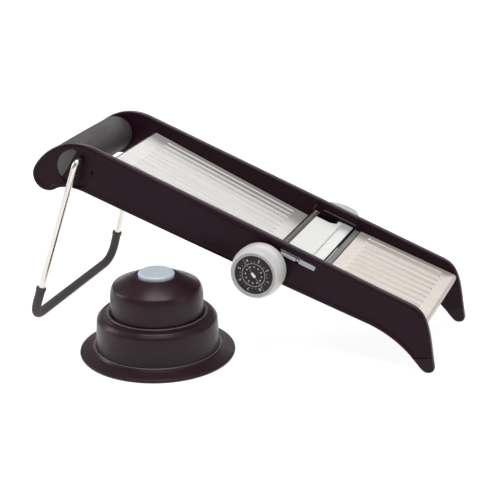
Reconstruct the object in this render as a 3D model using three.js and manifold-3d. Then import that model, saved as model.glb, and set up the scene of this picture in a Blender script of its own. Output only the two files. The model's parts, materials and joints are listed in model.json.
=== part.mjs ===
// Mandoline slicer with its folding leg, thickness knob, blade insert and food holder.
// Millimetres, +Z up. The slicing body is drawn in its own frame: x runs downhill along the
// rails, y across them, z square to the rail tops. Its group is tilted by TILT to stand.

import * as THREE from 'three';
import Module from 'manifold-3d';
import { mergeVertices } from 'three/addons/utils/BufferGeometryUtils.js';

const wasm = await Module();
wasm.setup();

// ---------------------------------------------------------------- driving dimensions

const GAP = 0.3;                      // clearance between touching pieces
const TILT = THREE.MathUtils.degToRad(20.1);
const BODY_ORIGIN = [-240.6, 0, 139.3];

// side rails
const RAIL_FACE = 60;                 // outer face, each side of the middle
const RAIL_WIDTH = 7.2;
const RAIL_INNER = RAIL_FACE - RAIL_WIDTH;
const DECK_HALF = RAIL_INNER - GAP;   // half width of what sits between the rails
const RIM = 4.6;                      // raised rim around the outer face
const RIM_STEP = 0.8;
const HEEL_RADIUS = 49.5;             // big arc over the handle end
const HEEL = [-62, -49.5];
const NOSE = [-97, -43];              // small arc under the handle end
const NOSE_RADIUS = 13.9;
const TOE = [271.6, -44.8];           // rubber foot at the lower end
const TOE_RADIUS = 5.4;
const BOOT_LINE = [[245, -49.4], [287, -25.4]];   // parts the boot from the rail

// handle
const GRIP = [-86.6, -27.4];
const GRIP_RADIUS = 16.4;

// folding leg
const LEG_PIVOT = [-72, -15];
const LEG_WIRE_RADIUS = 2.85;
const LEG_OFFSET = RAIL_FACE + 7;     // wire centre, each side
const LEG_REACH = 151.9;              // pivot to base bar
const LEG_LEAN = THREE.MathUtils.degToRad(16.28);
const LEG_FOOT = 79.9;                // wire centre at the base bar, each side
const LEG_CORNER = 18;
const LEG_ELBOW = 6;
const SLEEVE_RADIUS = 4.05;
const SLEEVE_RISE = 30;
const DISH = [-73.6, -24];            // thumb recess in the outer face
const DISH_RADIUS = 17.5;
const DISH_DEPTH = 2.6;
const DETENT = [-59.7, -23.1];
const PIVOT_HOLE = 5.8;
const PIVOT_SKIN = 1.2;               // wall left behind the leg's blind hole

// adjustable runway
const RUNWAY_TOP = [-50, -10.5];      // upper end of its surface
const RUNWAY_LENGTH = 161;
const RUNWAY_SLOPE = THREE.MathUtils.degToRad(2.775);
const RUNWAY_RIBS = { count: 12, pitch: 8.1, from: 15, to: 150, height: 0.7, width: 3.2 };
const SHEET = 1;
const AXLE = [3, -5];                 // hinge axle in the runway's own frame
const AXLE_RADIUS = 2.5;
const FRAME_DEPTH = 2;
const FRAME_GRID = { rows: 4, columns: 3, border: 9, bar: 5 };

// adjuster
const KNOB = [111.95, -26.06];
const SHAFT_RADIUS = 3.5;
const CAM_LOW = 4.1;                  // cam radius at the rest position
const CAM_RISE = 6.9;                 // lift over the knob's travel
const CAM_TRAVEL = 240;               // degrees
const CAM_SIDE = 40;
const KNOB_FACE = 85.3;
const KNOB_RADIUS = 22.5;
const DIAL_RADIUS = 16.4;

// blade insert
const INSERT_FROM = 120.3;
const INSERT_TO = 153.2;
const INSERT_TOP = -10;
const INSERT_DEPTH = 4.5;
const BLADE_EDGE = 114.8;
const STRAIGHT_BLADE_FROM = 143.6;
const SHORT_END = 40.3;               // far end of the raised carrier face
const SHORT_TO = 139;                 // where that face steps out to the far rail
const TAB = { from: 122, to: 153, shoulder: 66, reach: 84, top: -7.4 };
const CATCH = { from: 121.4, to: 153.4, low: -10.5, high: -6.5, notch: [135.6, 138.6] };
const BLADE_THICKNESS = 0.8;

// openings in the rails for the insert: [x from, x to, z low, z high]
const NEAR_SLOT = [120, 155.4, -11.4, -5.3];
const FAR_SLOT = [113.4, 156, -14.8, -5.5];
const LEDGE_WIDTH = 3.5;
const LEDGE_TOP = -15;
const LEDGE_DEPTH = 3.2;
const WIDE_LEDGE = [124, 13.5];       // far side only: x where it widens, and its width

// lower deck
const CROSSBAR = [155.3, 161];
const LANDING_FROM = 161.3;
const LANDING_LENGTH = 94;
const LANDING_TOP = -9.9;
const LANDING_SLOPE = THREE.MathUtils.degToRad(-1.2);
const LANDING_RIBS = { count: 10, pitch: 10, from: 10.5, to: 82, height: 0.8, width: 3.6 };

// food holder, standing on the table
const HOLDER = [-227.45, -95.07];
const BRIM_RADIUS = 66.1;
const CAP_RADIUS = 39.3;
const CAP_TOP = 69;
const CAP_WALL = 2.4;
const BUTTON_TOP = 72.2;
const BUTTON_RADIUS = 15.4;

// ---------------------------------------------------------------- materials

function finish(color, roughness, metalness = 0) {
  return new THREE.MeshStandardMaterial({ color, roughness, metalness });
}

const PLASTIC_DARK = finish(0x2d2228, 0.42);
const PLASTIC_CHARCOAL = finish(0x3c393b, 0.5);
const PLASTIC_LIGHT = finish(0xd5d8d6, 0.4);
const PLASTIC_WHITE = finish(0xebeeec, 0.45);
const PLASTIC_GREY = finish(0x6e6e6c, 0.5);
const PLASTIC_BLUE = finish(0xb9c3cd, 0.4);
const RUBBER = finish(0x3a3638, 0.85);
const SOFT_GRIP = finish(0x343036, 0.75);
const STEEL_BRUSHED = finish(0xdcd7ce, 0.3, 1);
const STEEL_POLISHED = finish(0xc8c8c8, 0.15, 1);

// ---------------------------------------------------------------- helpers

// Closed three.js geometry to a manifold solid.
function solid(geometry) {
  const bare = geometry.clone();
  bare.deleteAttribute('normal');
  bare.deleteAttribute('uv');
  const merged = mergeVertices(bare, 1e-4);
  return new wasm.Manifold(new wasm.Mesh({
    numProp: 3,
    vertProperties: new Float32Array(merged.attributes.position.array),
    triVerts: new Uint32Array(merged.index.array),
  }));
}

// Manifold solid back to a three.js geometry with flat normals.
function geometryOf(manifold) {
  const mesh = manifold.getMesh();
  const indexed = new THREE.BufferGeometry();
  indexed.setAttribute('position', new THREE.BufferAttribute(mesh.vertProperties, 3));
  indexed.setIndex(new THREE.BufferAttribute(mesh.triVerts, 1));
  const flat = indexed.toNonIndexed();
  flat.computeVertexNormals();
  return flat;
}

function add(group, name, shape, material) {
  const mesh = new THREE.Mesh(geometryOf(shape), material);
  mesh.name = name;
  group.add(mesh);
  return mesh;
}

function polygon(points) {
  return new THREE.Shape(points.map(([x, y]) => new THREE.Vector2(x, y)));
}

// Side-view outline (x, z) pushed through y0 to y1.
function across(outline, y0, y1, curveSegments = 10) {
  const shape = outline instanceof THREE.Shape ? outline : polygon(outline);
  const geometry = new THREE.ExtrudeGeometry(shape, {
    depth: y1 - y0, bevelEnabled: false, curveSegments,
  });
  geometry.rotateX(Math.PI / 2);
  geometry.translate(0, y1, 0);
  return solid(geometry);
}

// Plan outline (x, y) pushed through z0 to z1.
function upward(outline, z0, z1, curveSegments = 10) {
  const shape = outline instanceof THREE.Shape ? outline : polygon(outline);
  const geometry = new THREE.ExtrudeGeometry(shape, {
    depth: z1 - z0, bevelEnabled: false, curveSegments,
  });
  geometry.translate(0, 0, z0);
  return solid(geometry);
}

function block(x0, x1, y0, y1, z0, z1) {
  const geometry = new THREE.BoxGeometry(x1 - x0, y1 - y0, z1 - z0);
  geometry.translate((x0 + x1) / 2, (y0 + y1) / 2, (z0 + z1) / 2);
  return solid(geometry);
}

// Cylinder along y at a side-view centre.
function pin([x, z], radius, y0, y1, segments = 24) {
  const geometry = new THREE.CylinderGeometry(radius, radius, y1 - y0, segments);
  geometry.translate(x, (y0 + y1) / 2, z);
  return solid(geometry);
}

function ring(centre, outer, inner, y0, y1) {
  return pin(centre, outer, y0, y1).subtract(pin(centre, inner, y0 - 1, y1 + 1));
}

// Profile of [radius, height] points turned about z.
function turned(profile, segments = 36) {
  const points = profile.map(([r, z]) => new THREE.Vector2(r, z));
  if (profile[0][0] > 0) points.push(points[0].clone());
  const geometry = new THREE.LatheGeometry(points, segments);
  geometry.rotateX(Math.PI / 2);
  const made = solid(geometry);
  return made.volume() > 0 ? made : solid(flipped(geometry));
}

function flipped(geometry) {
  const copy = geometry.clone();
  const index = copy.index.array;
  for (let i = 0; i < index.length; i += 3) {
    [index[i], index[i + 1]] = [index[i + 1], index[i]];
  }
  return copy;
}

// A turned solid laid along y: height 0 sits at y0 and grows towards the near side.
function turnedNear(profile, [x, z], y0, segments = 36) {
  return turned(profile, segments).rotate([90, 0, 0]).translate([x, y0, z]);
}

function circle(radius, sides) {
  const points = [];
  for (let i = 0; i < sides; i += 1) {
    const angle = (2 * Math.PI * (i + 0.5)) / sides;
    points.push(new THREE.Vector2(radius * Math.cos(angle), radius * Math.sin(angle)));
  }
  return points;
}

function tube(path, radius, sides, steps, hole = 0) {
  const section = new THREE.Shape(circle(radius, sides));
  if (hole > 0) section.holes.push(new THREE.Path(circle(hole, sides).reverse()));
  return solid(new THREE.ExtrudeGeometry(section, {
    steps, bevelEnabled: false, extrudePath: path,
  }));
}

function both(make) {
  make('near', -1);
  make('far', 1);
}

function span(side, from, to) {
  return side < 0 ? [-to, -from] : [from, to];
}

// ---------------------------------------------------------------- side rails

function railOutline() {
  const heelEnd = Math.atan2(NOSE[1] - HEEL[1], NOSE[0] - HEEL[0]);
  const noseEnd = THREE.MathUtils.degToRad(-40);
  const shape = new THREE.Shape();
  shape.moveTo(HEEL[0], 0);
  shape.lineTo(238, 0);
  shape.bezierCurveTo(256, 0, 263, -20, 276.28, -42.1);
  shape.absarc(...TOE, TOE_RADIUS, Math.PI / 6, -2 * Math.PI / 3, true);
  shape.bezierCurveTo(253, -40, 237, -32.6, 213, -32.6);
  shape.quadraticCurveTo(75, -38.6, -60, -41.6);
  shape.bezierCurveTo(-72, -42, -82.2, -46.2,
    NOSE[0] + NOSE_RADIUS * Math.cos(noseEnd), NOSE[1] + NOSE_RADIUS * Math.sin(noseEnd));
  shape.absarc(...NOSE, NOSE_RADIUS, noseEnd, heelEnd - 2 * Math.PI, true);
  shape.absarc(...HEEL, HEEL_RADIUS, heelEnd, Math.PI / 2, true);
  return shape;
}

// The same outline, moved in by a distance.
function insetOutline(distance) {
  const points = railOutline().getPoints(10).map((p) => [p.x, p.y]);
  const section = new wasm.CrossSection([points], 'NonZero').offset(-distance, 'Round');
  return polygon(section.simplify(0.02).toPolygons()[0]);
}

// Everything beyond the line that parts the rubber boot from the rail.
function beyondBoot(clearance, y0, y1) {
  const [[x0, z0], [x1, z1]] = BOOT_LINE;
  const below = 40;
  return across([[x0 + clearance, z0], [x0 + clearance, z0 - below], [x1 + below, z0 - below],
    [x1 + clearance, z1]], y0, y1);
}

// Shelves inside a rail: under the blade insert, and under the landing plate.
function ledges(side) {
  const low = LEDGE_TOP - LEDGE_DEPTH;
  const reach = (width) => span(side, RAIL_INNER - width, RAIL_INNER + 0.5);
  const insertShelf = block(FAR_SLOT[0], FAR_SLOT[1], ...reach(LEDGE_WIDTH), low, LEDGE_TOP);
  const landingShelf = across([[162, -14.4], [248, -12.6], [248, -15.8], [162, -18]], ...reach(LEDGE_WIDTH));
  if (side < 0) return insertShelf.add(landingShelf);
  const [from, width] = WIDE_LEDGE;
  return insertShelf.add(landingShelf).add(block(from, CROSSBAR[0] - GAP, ...reach(width), low, LEDGE_TOP));
}

function makeRail(side) {
  const [y0, y1] = span(side, RAIL_INNER, RAIL_FACE);
  const [x0, x1, low, high] = side < 0 ? NEAR_SLOT : FAR_SLOT;
  return across(railOutline(), y0, y1)
    .subtract(across(insetOutline(RIM), ...span(side, RAIL_FACE - RIM_STEP, RAIL_FACE + 1)))
    .subtract(pin(DISH, DISH_RADIUS, ...span(side, RAIL_FACE - DISH_DEPTH, RAIL_FACE + 1), 36))
    .subtract(pin(LEG_PIVOT, PIVOT_HOLE, ...span(side, RAIL_INNER + PIVOT_SKIN, RAIL_FACE + 1)))
    .subtract(pin(KNOB, 6.5, y0 - 1, y1 + 1))
    .subtract(block(x0, x1, y0 - 1, y1 + 1, low, high))
    .add(ledges(side))
    .subtract(beyondBoot(-GAP, y0 - 5, y1 + 5));
}

function makeBoot(side) {
  const [y0, y1] = span(side, RAIL_INNER - 0.5, RAIL_FACE + 0.5);
  const outline = railOutline();
  const floorNormal = [-Math.sin(TILT), 0, Math.cos(TILT)];
  return across(outline, y0, y1)
    .intersect(beyondBoot(0, y0 - 1, y1 + 1))
    .trimByPlane(floorNormal, -BODY_ORIGIN[2]);
}

function sideRails(body) {
  both((name, side) => {
    add(body, `${name}_side_rail`, makeRail(side), PLASTIC_DARK);
    add(body, `${name}_front_boot`, makeBoot(side), RUBBER);
    add(body, `${name}_shaft_bush`,
      ring(KNOB, 6.2, SHAFT_RADIUS + 0.4, ...span(side, RAIL_INNER, RAIL_FACE - 0.4)), PLASTIC_GREY);
    add(body, `${name}_leg_bush`,
      ring(LEG_PIVOT, PIVOT_HOLE - GAP, LEG_WIRE_RADIUS + 0.4,
        ...span(side, RAIL_INNER + PIVOT_SKIN + GAP, RAIL_FACE - DISH_DEPTH - 0.2)), PLASTIC_CHARCOAL);
    add(body, `${name}_leg_detent`, pin(DETENT, 2, ...span(side, 57.7, 60.6), 16), PLASTIC_DARK);
  });
}

function handle(body) {
  const half = DECK_HALF;
  const profile = [[0, 0], [GRIP_RADIUS - 1.2, 0], [GRIP_RADIUS, 1.2], [GRIP_RADIUS, 2 * half - 1.2],
    [GRIP_RADIUS - 1.2, 2 * half], [0, 2 * half]];
  add(body, 'handle_grip', turnedNear(profile, GRIP, half, 32), SOFT_GRIP);
}

// ---------------------------------------------------------------- folding leg

// U of wire in the plane of the leg: x is the distance from the pivot, y across. The sides
// splay from the pivots to the base bar.
function legPath(fromReach, withElbows) {
  const at = (reach, y) => new THREE.Vector3(reach, y, 0);
  const sideY = (reach) => LEG_OFFSET + ((LEG_FOOT - LEG_OFFSET) * reach) / LEG_REACH;
  const corner = LEG_REACH - LEG_CORNER;
  const path = new THREE.CurvePath();
  const line = (from, to) => path.add(new THREE.LineCurve3(from, to));
  const bend = (from, via, to) => path.add(new THREE.QuadraticBezierCurve3(from, via, to));
  const start = RAIL_FACE - 5.5;
  const elbow = LEG_OFFSET - LEG_ELBOW;
  if (withElbows) {
    line(at(0, -start), at(0, -elbow));
    bend(at(0, -elbow), at(0, -LEG_OFFSET), at(LEG_ELBOW, -sideY(LEG_ELBOW)));
  }
  line(at(fromReach, -sideY(fromReach)), at(corner, -sideY(corner)));
  bend(at(corner, -sideY(corner)), at(LEG_REACH, -LEG_FOOT), at(LEG_REACH, LEG_CORNER - LEG_FOOT));
  line(at(LEG_REACH, LEG_CORNER - LEG_FOOT), at(LEG_REACH, LEG_FOOT - LEG_CORNER));
  bend(at(LEG_REACH, LEG_FOOT - LEG_CORNER), at(LEG_REACH, LEG_FOOT), at(corner, sideY(corner)));
  line(at(corner, sideY(corner)), at(fromReach, sideY(fromReach)));
  if (withElbows) {
    bend(at(LEG_ELBOW, sideY(LEG_ELBOW)), at(0, LEG_OFFSET), at(0, elbow));
    line(at(0, elbow), at(0, start));
  }
  return path;
}

function foldingLeg(slicer) {
  const leg = new THREE.Group();
  const [a, c] = LEG_PIVOT;
  leg.position.set(
    BODY_ORIGIN[0] + a * Math.cos(TILT) + c * Math.sin(TILT), 0,
    BODY_ORIGIN[2] - a * Math.sin(TILT) + c * Math.cos(TILT));
  leg.rotation.y = Math.PI / 2 + LEG_LEAN;
  add(leg, 'leg_wire', tube(legPath(LEG_ELBOW, true), LEG_WIRE_RADIUS, 10, 110), STEEL_POLISHED);
  const sleeveStart = LEG_REACH - SLEEVE_RISE;
  add(leg, 'leg_sleeve',
    tube(legPath(sleeveStart, false), SLEEVE_RADIUS, 10, 50, LEG_WIRE_RADIUS + 0.4), RUBBER);
  slicer.add(leg);
}

// ---------------------------------------------------------------- pressed steel decks

// Raised ribs that run along x on a sheet whose top is z = 0.
function withRibs(sheet, { count, pitch, from, to, height, width }) {
  let made = sheet;
  for (let i = 0; i < count; i += 1) {
    const y = (i - (count - 1) / 2) * pitch;
    const section = polygon([[-width / 2, -0.4], [width / 2, -0.4], [width / 6, height], [-width / 6, height]]);
    const rib = new THREE.ExtrudeGeometry(section, { depth: to - from, bevelEnabled: false });
    rib.rotateX(Math.PI / 2);
    rib.rotateZ(Math.PI / 2);
    rib.translate(from, y, 0);
    made = made.add(solid(rib));
  }
  return made;
}

function deckGroup(body, [x, z], slope) {
  const group = new THREE.Group();
  group.position.set(x, 0, z);
  group.rotation.y = slope;
  body.add(group);
  return group;
}

function runway(body) {
  const group = deckGroup(body, RUNWAY_TOP, RUNWAY_SLOPE);
  const sheet = block(0, RUNWAY_LENGTH, -DECK_HALF + 0.2, DECK_HALF - 0.2, -SHEET, 0);
  add(group, 'runway_plate', withRibs(sheet, RUNWAY_RIBS), STEEL_BRUSHED);

  const top = -SHEET - GAP;
  const end = RUNWAY_LENGTH + 2.4;
  const side = DECK_HALF - 1;
  const lug = (y0, y1) => block(-2, 9, y0, y1, AXLE[1] - 4, top);
  const { rows, columns, border, bar } = FRAME_GRID;
  const length = (end - 12 - border - bar * (rows - 1)) / rows;
  const width = (2 * (side - border) - bar * (columns - 1)) / columns;
  let frame = block(-2, end, -side, side, top - FRAME_DEPTH, top);
  for (let row = 0; row < rows; row += 1) {
    const x = border + row * (length + bar);
    for (let column = 0; column < columns; column += 1) {
      const y = -side + border + column * (width + bar);
      frame = frame.subtract(block(x, x + length, y, y + width, top - 9, top + 1));
    }
  }
  frame = frame
    .add(lug(-side, -side + 8))
    .add(lug(side - 8, side))
    .subtract(pin(AXLE, AXLE_RADIUS + 0.35, -side - 1, side + 1));
  add(group, 'runway_frame', frame, PLASTIC_CHARCOAL);
  add(group, 'runway_axle', pin(AXLE, AXLE_RADIUS, -DECK_HALF, DECK_HALF, 20), STEEL_POLISHED);
}

function landing(body) {
  const group = deckGroup(body, [LANDING_FROM, LANDING_TOP], LANDING_SLOPE);
  const profile = new THREE.Shape();
  const end = LANDING_LENGTH;
  profile.moveTo(0, 0);
  profile.lineTo(end - 3, 0);
  profile.absarc(end - 3, -3, 3, Math.PI / 2, 0, true);
  profile.lineTo(end, -7);
  profile.lineTo(end - SHEET, -7);
  profile.absarc(end - 3, -3, 2, 0, Math.PI / 2, false);
  profile.lineTo(0, -SHEET);
  add(group, 'landing_plate', withRibs(across(profile, -DECK_HALF, DECK_HALF, 4), LANDING_RIBS), STEEL_BRUSHED);

  const top = -SHEET - GAP;
  const tray = block(0.8, end - 4.4, -DECK_HALF, DECK_HALF, top - 2.4, top)
    .add(block(end - 9, end - 4.4, -DECK_HALF + 4, DECK_HALF - 4, -14, top))
    .add(block(0.8, 5, -DECK_HALF + 4, DECK_HALF - 4, -12, top));
  add(group, 'landing_tray', tray, PLASTIC_CHARCOAL);

  for (let i = 0; i < 4; i += 1) {
    const x = i < 2 ? 20 : 70;
    const y = (i % 2 === 0 ? -1 : 1) * 38;
    const head = turned([[0, 0], [2.2, 0], [3, 0.8], [3, 1.8], [0, 1.8]], 16);
    add(group, `tray_screw_${i + 1}`, head.translate([x, y, top - 2.4 - GAP - 1.8]), STEEL_POLISHED);
  }

  const [x0, x1] = CROSSBAR;
  const bar = across([[x0, -11], [x0 + 0.8, -10.2], [x1 - 1.1, -10.2], [x1 - GAP, -11], [x1 - GAP, -20],
    [x0, -20]], -DECK_HALF + 4, DECK_HALF - 4);
  const wings = block(x0, x1 - GAP, -DECK_HALF, DECK_HALF, -14.6, -11);
  add(body, 'crossbar', bar.add(wings), PLASTIC_GREY);
}

// ---------------------------------------------------------------- thickness adjuster

// Cam radius grows with the angle that passes the top as the knob turns clockwise.
function camOutline() {
  const points = [];
  for (let turn = -36; turn <= CAM_TRAVEL + 36; turn += 12) {
    const radius = Math.max(CAM_LOW + (CAM_RISE * turn) / CAM_TRAVEL, SHAFT_RADIUS + 0.2);
    const angle = THREE.MathUtils.degToRad(90 + turn);
    points.push([KNOB[0] + radius * Math.cos(angle), KNOB[1] + radius * Math.sin(angle)]);
  }
  return points;
}

function adjuster(body) {
  let shaft = pin(KNOB, SHAFT_RADIUS, -74.5, RAIL_FACE - 0.6);
  for (const y of [-CAM_SIDE, CAM_SIDE]) {
    shaft = shaft.add(across(camOutline(), y - 4, y + 4));
  }
  add(body, 'cam_shaft', shaft, STEEL_POLISHED);

  const bore = SHAFT_RADIUS + GAP;
  const back = RAIL_FACE + 0.6;
  const face = KNOB_FACE - back;
  const rim = KNOB_RADIUS;
  const wheel = [[bore, 0], [rim - 2.9, 0], [rim - 1.3, 1.4], [rim - 0.5, 4], [rim, 9], [rim, 14],
    [rim - 0.4, 18], [rim - 1.3, 21.6], [rim - 2.5, 23.9], [rim - 3.5, face], [17.2, face],
    [DIAL_RADIUS + GAP, face - 0.8],
    [DIAL_RADIUS + GAP, face - 2.5], [0, face - 2.5], [0, 14.5], [bore, 14.5]];
  add(body, 'knob_wheel', turnedNear([...wheel].reverse(), KNOB, -back, 36), PLASTIC_LIGHT);
  const dial = [[0, 0], [DIAL_RADIUS, 0], [DIAL_RADIUS, 0.9], [DIAL_RADIUS - 0.4, 1.3], [0, 1.3]];
  add(body, 'dial_face', turnedNear(dial, KNOB, -KNOB_FACE + 2.2, 36), PLASTIC_CHARCOAL);
  const boss = [[0, 0], [3.2, 0], [2.8, 0.6], [0, 0.7]];
  add(body, 'dial_boss', turnedNear(boss, KNOB, -KNOB_FACE + 2.2 - 1.3 - GAP + 0.1, 20), STEEL_POLISHED);
}

// ---------------------------------------------------------------- blade insert

function bladeInsert(body) {
  const low = INSERT_TOP - INSERT_DEPTH;
  const shelf = INSERT_TOP - BLADE_THICKNESS - GAP;
  const end = DECK_HALF - 0.2;
  const rivets = [[128, -36], [128, 30], [148.5, -36], [148.5, 30]];
  const last = STRAIGHT_BLADE_FROM - GAP;
  let carrier = block(INSERT_FROM, last, -end, SHORT_END, low, INSERT_TOP)
    .add(block(SHORT_TO + 2, last, 0, end, low, INSERT_TOP))
    .add(block(SHORT_TO, INSERT_TO, -end, end, low, shelf));
  rivets.forEach(([x, y], i) => {
    const pocket = new THREE.CylinderGeometry(3, 3, 2.4, 16);
    pocket.rotateX(Math.PI / 2);
    pocket.translate(x, y, low);
    carrier = carrier.subtract(solid(pocket));
    const head = turned([[0, 0], [2.6, 0], [2.6, 0.8], [0, 0.8]], 12);
    add(body, `blade_rivet_${i + 1}`, head.translate([x, y, low + 0.1]), STEEL_POLISHED);
  });
  add(body, 'blade_carrier', carrier, PLASTIC_WHITE);

  const edge = [];
  const waves = 21;
  for (let i = 0; i <= waves * 4; i += 1) {
    const y = -end + (2 * end * i) / (waves * 4);
    edge.push([BLADE_EDGE + 0.6 - 0.6 * Math.cos((Math.PI * i) / 2), y]);
  }
  const strip = [[INSERT_FROM - GAP, -end], ...edge, [INSERT_FROM - GAP, end]].reverse();
  add(body, 'wavy_blade', upward(strip, INSERT_TOP - 0.6 - BLADE_THICKNESS, INSERT_TOP - 0.6), STEEL_BRUSHED);

  const under = INSERT_TOP - BLADE_THICKNESS;
  const ground = across([[STRAIGHT_BLADE_FROM, under], [STRAIGHT_BLADE_FROM + 1.6, INSERT_TOP],
    [INSERT_TO, INSERT_TOP], [INSERT_TO, under]], -end, end);
  add(body, 'straight_blade', ground, STEEL_BRUSHED);

  insertEnds(body, low, end);
}

// What closes the rails' openings: a block in the far one with the finger tab outside it,
// and the notched catch that shows in the near one.
function insertEnds(body, low, end) {
  const [from, to, , high] = FAR_SLOT;
  const inSlot = [end + GAP, RAIL_FACE];
  add(body, 'insert_end_block', block(from + 0.5, to - 1, ...inSlot, low + 0.1, high - 0.4), PLASTIC_CHARCOAL);

  const tab = new THREE.Shape();
  const half = (TAB.to - TAB.from) / 2;
  tab.moveTo(TAB.from, RAIL_FACE + GAP);
  tab.lineTo(TAB.to, RAIL_FACE + GAP);
  tab.lineTo(TAB.to, TAB.shoulder);
  tab.absellipse(TAB.from + half, TAB.shoulder, half, TAB.reach - TAB.shoulder, 0, Math.PI, false, 0);
  add(body, 'insert_tab', upward(tab, low + 0.2, TAB.top, 12), PLASTIC_LIGHT);

  const { from: x0, to: x1, low: z0, high: z1, notch } = CATCH;
  const [y0, y1] = [-RAIL_FACE - 0.5, -end - GAP];
  const step = 1;
  const cut = (bottom, top) => block(...notch, y0 - 1, y0 + 2, bottom, top);
  const bar = block(x0, x1, y0, y1, z0, z1)
    .subtract(block(x0 - 1, notch[0], y0 - 1, y1 + 1, z1 - step, z1 + 1))
    .subtract(cut(z1 - 2, z1 + 1))
    .subtract(cut(z0 - 1, z0 + 1));
  add(body, 'insert_catch', bar, PLASTIC_LIGHT);
}

// ---------------------------------------------------------------- food holder

function foodHolder(slicer) {
  const holder = new THREE.Group();
  holder.position.set(...HOLDER, 0);
  slicer.add(holder);

  const base = [[BRIM_RADIUS - 4.6, 0], [BRIM_RADIUS - 0.6, 0], [BRIM_RADIUS, 1], [BRIM_RADIUS - 0.2, 2.4],
    [BRIM_RADIUS - 1.4, 3], [54.2, 6.1], [52.8, 7.2], [52.3, 9], [51.4, 27.5], [50.4, 31.6], [47.8, 34.8],
    [44, 36], [CAP_RADIUS + 1, 36.2], [CAP_RADIUS + 0.8, 33.2], [45.5, 32.6], [48, 30.6], [48.9, 27.5],
    [49.7, 9.6], [44, 9.2], [44, 7], [50.6, 6.6], [53, 4]];
  add(holder, 'holder_base', turned(base, 40), PLASTIC_CHARCOAL);

  const rim = BUTTON_RADIUS + 0.5;
  const cap = [[CAP_RADIUS, 31], [CAP_RADIUS, 48], [39.2, 52], [38.9, 55], [38.3, 57.4], [37.6, 59.4],
    [36.6, 60.8], [35.4, 61.7], [22, 67.7], [19, CAP_TOP], [rim + 0.6, CAP_TOP], [rim, CAP_TOP - 0.6],
    [rim, CAP_TOP - 2.6], [20.4, 65.9], [26.2, 63.1], [32.4, 60.1], [34.2, 59.4], [35.5, 57.9], [36.5, 54.8],
    [CAP_RADIUS - CAP_WALL, 48],
    [CAP_RADIUS - CAP_WALL, 26.6], [47.6, 26.6], [47.6, 28.8], [CAP_RADIUS + 0.4, 28.8]];
  add(holder, 'holder_cap', turned([...cap].reverse(), 40), PLASTIC_CHARCOAL);

  const spring = [[44.6, 9.5], [46.6, 9.5], [46.6, 26.3], [44.6, 26.3]];
  add(holder, 'holder_spring', turned(spring, 24), STEEL_POLISHED);

  let prongs = turned([[0, 27.2], [36.2, 27.2], [36.2, 28.4], [0, 28.4]], 32);
  for (const [count, radius] of [[8, 28], [4, 14]]) {
    for (let i = 0; i < count; i += 1) {
      const angle = (2 * Math.PI * i) / count;
      const prong = new THREE.ConeGeometry(1.7, 10.6, 6);
      prong.rotateX(-Math.PI / 2);
      prong.translate(radius * Math.cos(angle), radius * Math.sin(angle), 22.2);
      prongs = prongs.add(solid(prong));
    }
  }
  add(holder, 'prong_plate', prongs, STEEL_BRUSHED);

  const coreTop = BUTTON_TOP - 15;
  const core = [[9, 28.7], [13, 28.7], [13, coreTop], [9, coreTop]];
  add(holder, 'plunger_core', turned(core, 24), PLASTIC_GREY);
  const springFoot = coreTop + GAP;
  const springTop = springFoot + 4.9;
  const buttonSpring = [[9.6, springFoot], [11.4, springFoot], [11.4, springTop], [9.6, springTop]];
  add(holder, 'button_spring', turned(buttonSpring, 20), STEEL_POLISHED);
  const foot = springTop + GAP;
  const button = [[0, foot], [BUTTON_RADIUS + 2, foot], [BUTTON_RADIUS + 2, foot + 1.7],
    [BUTTON_RADIUS, foot + 2.3], [BUTTON_RADIUS, BUTTON_TOP - 1.4], [BUTTON_RADIUS - 0.8, BUTTON_TOP - 0.2],
    [BUTTON_RADIUS - 2.6, BUTTON_TOP], [0, BUTTON_TOP - 0.3]];
  add(holder, 'holder_button', turned(button, 36), PLASTIC_BLUE);
}

// ---------------------------------------------------------------- assembly

function build() {
  const slicer = new THREE.Group();
  const body = new THREE.Group();
  body.position.set(...BODY_ORIGIN);
  body.rotation.y = TILT;
  slicer.add(body);
  sideRails(body);
  handle(body);
  runway(body);
  adjuster(body);
  bladeInsert(body);
  landing(body);
  foldingLeg(slicer);
  foodHolder(slicer);

  // stand the whole on the origin, middle of its box, floor at z = 0
  slicer.updateMatrixWorld(true);
  const box = new THREE.Box3().setFromObject(slicer, true);
  const centre = box.getCenter(new THREE.Vector3());
  slicer.position.set(-centre.x, -centre.y, -box.min.z);
  return slicer;
}

export default build();
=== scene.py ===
"""Mandoline slicer with its food holder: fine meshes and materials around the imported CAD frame.

Shapes are drawn in millimetres in the frame of the group they belong to, and a matrix taken
from the CAD joints carries them into the row frame, in metres.
"""

import json
import math

import bmesh
import bpy
from mathutils import Matrix, Vector


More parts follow.
